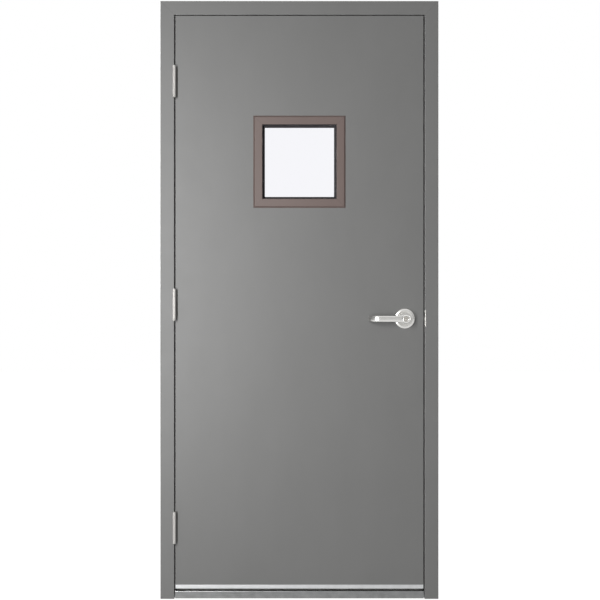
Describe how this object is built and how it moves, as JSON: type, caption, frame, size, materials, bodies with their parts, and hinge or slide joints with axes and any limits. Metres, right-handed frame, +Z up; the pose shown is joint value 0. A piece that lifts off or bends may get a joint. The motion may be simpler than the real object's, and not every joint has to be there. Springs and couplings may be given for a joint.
{
  "type": "hollow metal door with a vision lite and frame",
  "caption": "Grey steel door with a small square glass lite and a lever lock, hung on butt hinges in its welded steel frame.",
  "frame": {"origin": "middle of the opening's width and of the frame's depth, at the floor: the centre of the floor bolts' pattern", "axes": "+Z up the jambs, +Y through the wall away from the side that the door opens to, +X from the hinges to the lock"},
  "size_m": [1.016, 0.2114, 2.1844],
  "materials": {
    "frame_paint": "semi-gloss grey paint",
    "door_paint": "semi-gloss grey paint",
    "bronze_paint": "satin bronze paint",
    "primed_steel": "grey primer",
    "zinc": "zinc plated",
    "satin_steel": "satin chrome plate",
    "satin_cast": "satin chrome plate",
    "satin_brass": "satin chrome plated brass",
    "screws": "plated steel",
    "mill_aluminium": "mill finish",
    "worn_aluminium": "mill finish, dulled by feet",
    "glass": "clear float glass",
    "black_tape": "matte glazing tape",
    "black_rubber": "matte rubber",
    "grey_rubber": "matte rubber"
  },
  "bodies": {
    "frame": {"hinge_jamb": "frame_paint", "strike_jamb": "frame_paint", "frame_head": "frame_paint", "frame_hinge_plates": "primed_steel", "strike_reinforcement": "primed_steel", "hinge_jamb_anchors": "zinc", "strike_jamb_anchors": "zinc", "floor_anchors": "zinc", "threshold": "worn_aluminium", "strike_plate": "satin_steel", "strike_screws": "screws", "strike_box": "primed_steel", "silencers": "grey_rubber", "frame_leaf_top": "satin_steel", "frame_leaf_middle": "satin_steel", "frame_leaf_bottom": "satin_steel", "hinge_pin_top": "satin_steel", "hinge_pin_middle": "satin_steel", "hinge_pin_bottom": "satin_steel", "hinge_end_plugs": "satin_steel", "frame_leaf_screws": "screws"},
    "door": {"door_front_skin": "door_paint", "door_back_skin": "door_paint", "door_top_channel": "door_paint", "door_bottom_channel": "door_paint", "door_stiffeners": "primed_steel", "lite_channels": "primed_steel", "door_hinge_plates": "primed_steel", "lock_reinforcement": "primed_steel", "lite_frame_front": "bronze_paint", "lite_frame_back": "bronze_paint", "lite_screws": "screws", "glass_pane": "glass", "glazing_tape_front": "black_tape", "glazing_tape_back": "black_tape", "setting_blocks": "black_rubber", "door_shoe": "mill_aluminium", "door_shoe_seal": "grey_rubber", "door_shoe_screws": "screws", "door_leaf_top": "satin_steel", "door_leaf_middle": "satin_steel", "door_leaf_bottom": "satin_steel", "door_leaf_screws": "screws", "outside_rose": "satin_steel", "inside_rose": "satin_steel", "lock_chassis": "zinc", "lock_bolts": "screws", "latch_tube": "zinc", "latch_faceplate": "satin_steel", "faceplate_screws": "screws"},
    "outside_lever_set": {"outside_lever": "satin_cast", "outside_spindle": "zinc", "key_cylinder": "satin_brass"},
    "key_plug_set": {"key_plug": "satin_brass"},
    "inside_lever_set": {"inside_lever": "satin_cast", "inside_spindle": "zinc"},
    "turn_button_set": {"turn_button": "satin_steel"},
    "latch": {"latch_bolt": "satin_steel"}
  },
  "joints": [
    {"name": "door_swing", "type": "hinge", "parent": "frame", "child": "door", "pos_m": [-0.4556, -0.09045, 1.0753], "axis": [0, 0, -1], "range_deg": [0, 170]},
    {"name": "outside_lever_turn", "type": "hinge", "parent": "door", "child": "outside_lever_set", "pos_m": [0.38415, -0.0714, 1.0239], "axis": [0, -1, 0], "range_deg": [0, 50], "stiffness_Nm_per_rad": 1.5, "springref_deg": -28.65},
    {"name": "inside_lever_turn", "type": "hinge", "parent": "door", "child": "inside_lever_set", "pos_m": [0.38415, -0.02695, 1.0239], "axis": [0, -1, 0], "range_deg": [0, 50], "stiffness_Nm_per_rad": 1.5, "springref_deg": -28.65},
    {"name": "latch_slide", "type": "slide", "parent": "door", "child": "latch", "axis": [-1, 0, 0], "range_m": [0, 0.0127]},
    {"name": "key_plug_turn", "type": "hinge", "parent": "outside_lever_set", "child": "key_plug_set", "pos_m": [0.38415, -0.138, 1.0239], "axis": [0, -1, 0], "range_deg": [-90, 90]},
    {"name": "turn_button_turn", "type": "hinge", "parent": "inside_lever_set", "child": "turn_button_set", "pos_m": [0.38415, 0.042, 1.0239], "axis": [0, 1, 0], "range_deg": [0, 90]}
  ],
  "couplings": [
    {"joint": "latch_slide", "follows": "outside_lever_turn", "m_per_rad": 0.01455}
  ]
}
